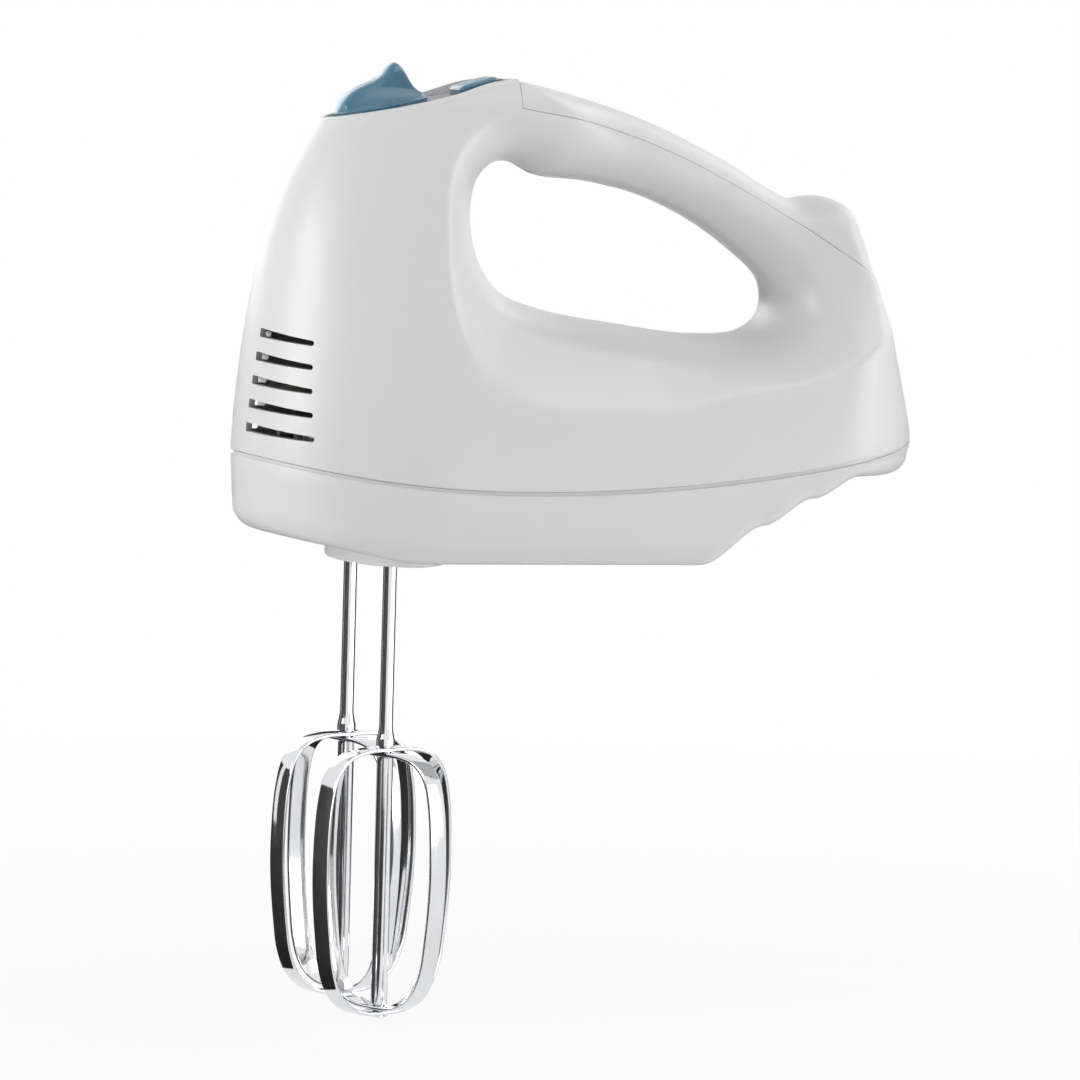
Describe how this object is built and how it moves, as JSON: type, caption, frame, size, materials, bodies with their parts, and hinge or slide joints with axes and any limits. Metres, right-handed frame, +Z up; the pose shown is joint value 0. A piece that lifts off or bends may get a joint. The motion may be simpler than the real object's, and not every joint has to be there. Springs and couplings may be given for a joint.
{
  "type": "hand mixer",
  "caption": "Hand-held electric mixer with a looped grip, a turn-and-press speed dial, a burst button, a geared motor and a pair of pull-out wire-strip beaters.",
  "frame": {"origin": "middle of the hand grip", "axes": "+Z up, away from the beaters; -X towards the nose; -Y is the user's left when the nose points away"},
  "size_m": [0.1942, 0.086, 0.2632],
  "materials": {
    "shell": "white, moulded, semi-gloss",
    "dial_blue": "blue, polished",
    "panel_grey": "grey, fine satin",
    "chrome": "polished",
    "steel": "plain, turned or stamped",
    "bronze": "sintered bronze",
    "copper": "lacquered copper wire and bars",
    "nylon": "natural nylon",
    "black_plastic": "black",
    "carbon": "pressed carbon",
    "board": "green solder mask"
  },
  "bodies": {
    "housing": {"main_housing": "shell", "bottom_housing": "shell", "handle_cover": "shell", "cord_gland": "shell", "control_panel": "panel_grey", "speed_switch": "black_plastic", "circuit_board": "board", "burst_spring": "steel", "burst_switch": "black_plastic", "eject_spring": "steel", "gear_carrier": "nylon", "spindle_bush_left": "bronze", "thrust_washer_left": "steel", "field_coil_left": "copper", "brush_left": "carbon", "brush_holder_left": "bronze", "spindle_bush_right": "bronze", "thrust_washer_right": "steel", "field_coil_right": "copper", "brush_right": "carbon", "brush_holder_right": "bronze", "bearing_front": "bronze", "bearing_rear": "bronze", "bracket_front": "steel", "bracket_rear": "nylon", "stator_core": "steel", "housing_screw_front_left": "steel", "housing_screw_front_right": "steel", "housing_screw_rear_left": "steel", "housing_screw_rear_right": "steel", "cover_screw_front": "steel", "cover_screw_rear": "steel"},
    "selector": {"switch_rotor": "nylon"},
    "dial": {"speed_dial": "dial_blue"},
    "burst": {"burst_button": "dial_blue"},
    "ejector": {"eject_fork": "nylon"},
    "armature": {"armature_shaft": "steel", "armature_core": "steel", "winding_front": "copper", "winding_rear": "copper", "commutator": "copper", "cooling_fan": "black_plastic"},
    "gear_left": {"drive_gear_left": "nylon", "spindle_left": "steel"},
    "pin_left": {"eject_pin_left": "steel"},
    "beater_left": {"beater_shaft_left": "chrome", "beater_outer_strip_left": "chrome", "beater_inner_strip_left": "chrome"},
    "gear_right": {"drive_gear_right": "nylon", "spindle_right": "steel"},
    "pin_right": {"eject_pin_right": "steel"},
    "beater_right": {"beater_shaft_right": "chrome", "beater_outer_strip_right": "chrome", "beater_inner_strip_right": "chrome"}
  },
  "joints": [
    {"name": "dial_turn", "type": "hinge", "parent": "housing", "child": "selector", "pos_m": [-0.0665, 0, 0.01099], "axis": [-0.2079, 0, 0.9781], "range_deg": [0, 150]},
    {"name": "eject_press", "type": "slide", "parent": "selector", "child": "dial", "axis": [0.2079, 0, -0.9781], "range_m": [0, 0.005], "stiffness_N_per_m": 900, "springref_m": -0.002},
    {"name": "burst_press", "type": "slide", "parent": "housing", "child": "burst", "axis": [0.2079, 0, -0.9781], "range_m": [0, 0.002], "stiffness_N_per_m": 600, "springref_m": -0.001, "deforming": ["burst_spring"]},
    {"name": "eject_fork_drop", "type": "slide", "parent": "housing", "child": "ejector", "axis": [0, 0, -1], "range_m": [0, 0.005], "deforming": ["eject_spring"]},
    {"name": "armature_spin", "type": "hinge", "parent": "housing", "child": "armature", "pos_m": [-0.066, 0, -0.083], "axis": [1, 0, 0], "continuous": true},
    {"name": "gear_left_spin", "type": "hinge", "parent": "housing", "child": "gear_left", "pos_m": [-0.066, -0.02, -0.083], "axis": [0, 0, 1], "continuous": true},
    {"name": "eject_pin_left_drop", "type": "slide", "parent": "gear_left", "child": "pin_left", "axis": [0, 0, -1], "range_m": [0, 0.005]},
    {"name": "beater_left_release", "type": "slide", "parent": "pin_left", "child": "beater_left", "axis": [0, 0, -1], "range_m": [0, 0.045]},
    {"name": "gear_right_spin", "type": "hinge", "parent": "housing", "child": "gear_right", "pos_m": [-0.066, 0.02, -0.083], "axis": [0, 0, 1], "continuous": true},
    {"name": "eject_pin_right_drop", "type": "slide", "parent": "gear_right", "child": "pin_right", "axis": [0, 0, -1], "range_m": [0, 0.005]},
    {"name": "beater_right_release", "type": "slide", "parent": "pin_right", "child": "beater_right", "axis": [0, 0, -1], "range_m": [0, 0.045]}
  ],
  "couplings": [
    {"joint": "eject_fork_drop", "follows": "eject_press", "ratio": 0.9781},
    {"joint": "gear_left_spin", "follows": "armature_spin", "ratio": 0.03125},
    {"joint": "eject_pin_left_drop", "follows": "eject_press", "ratio": 0.9781},
    {"joint": "gear_right_spin", "follows": "armature_spin", "ratio": -0.03125},
    {"joint": "eject_pin_right_drop", "follows": "eject_press", "ratio": 0.9781}
  ]
}
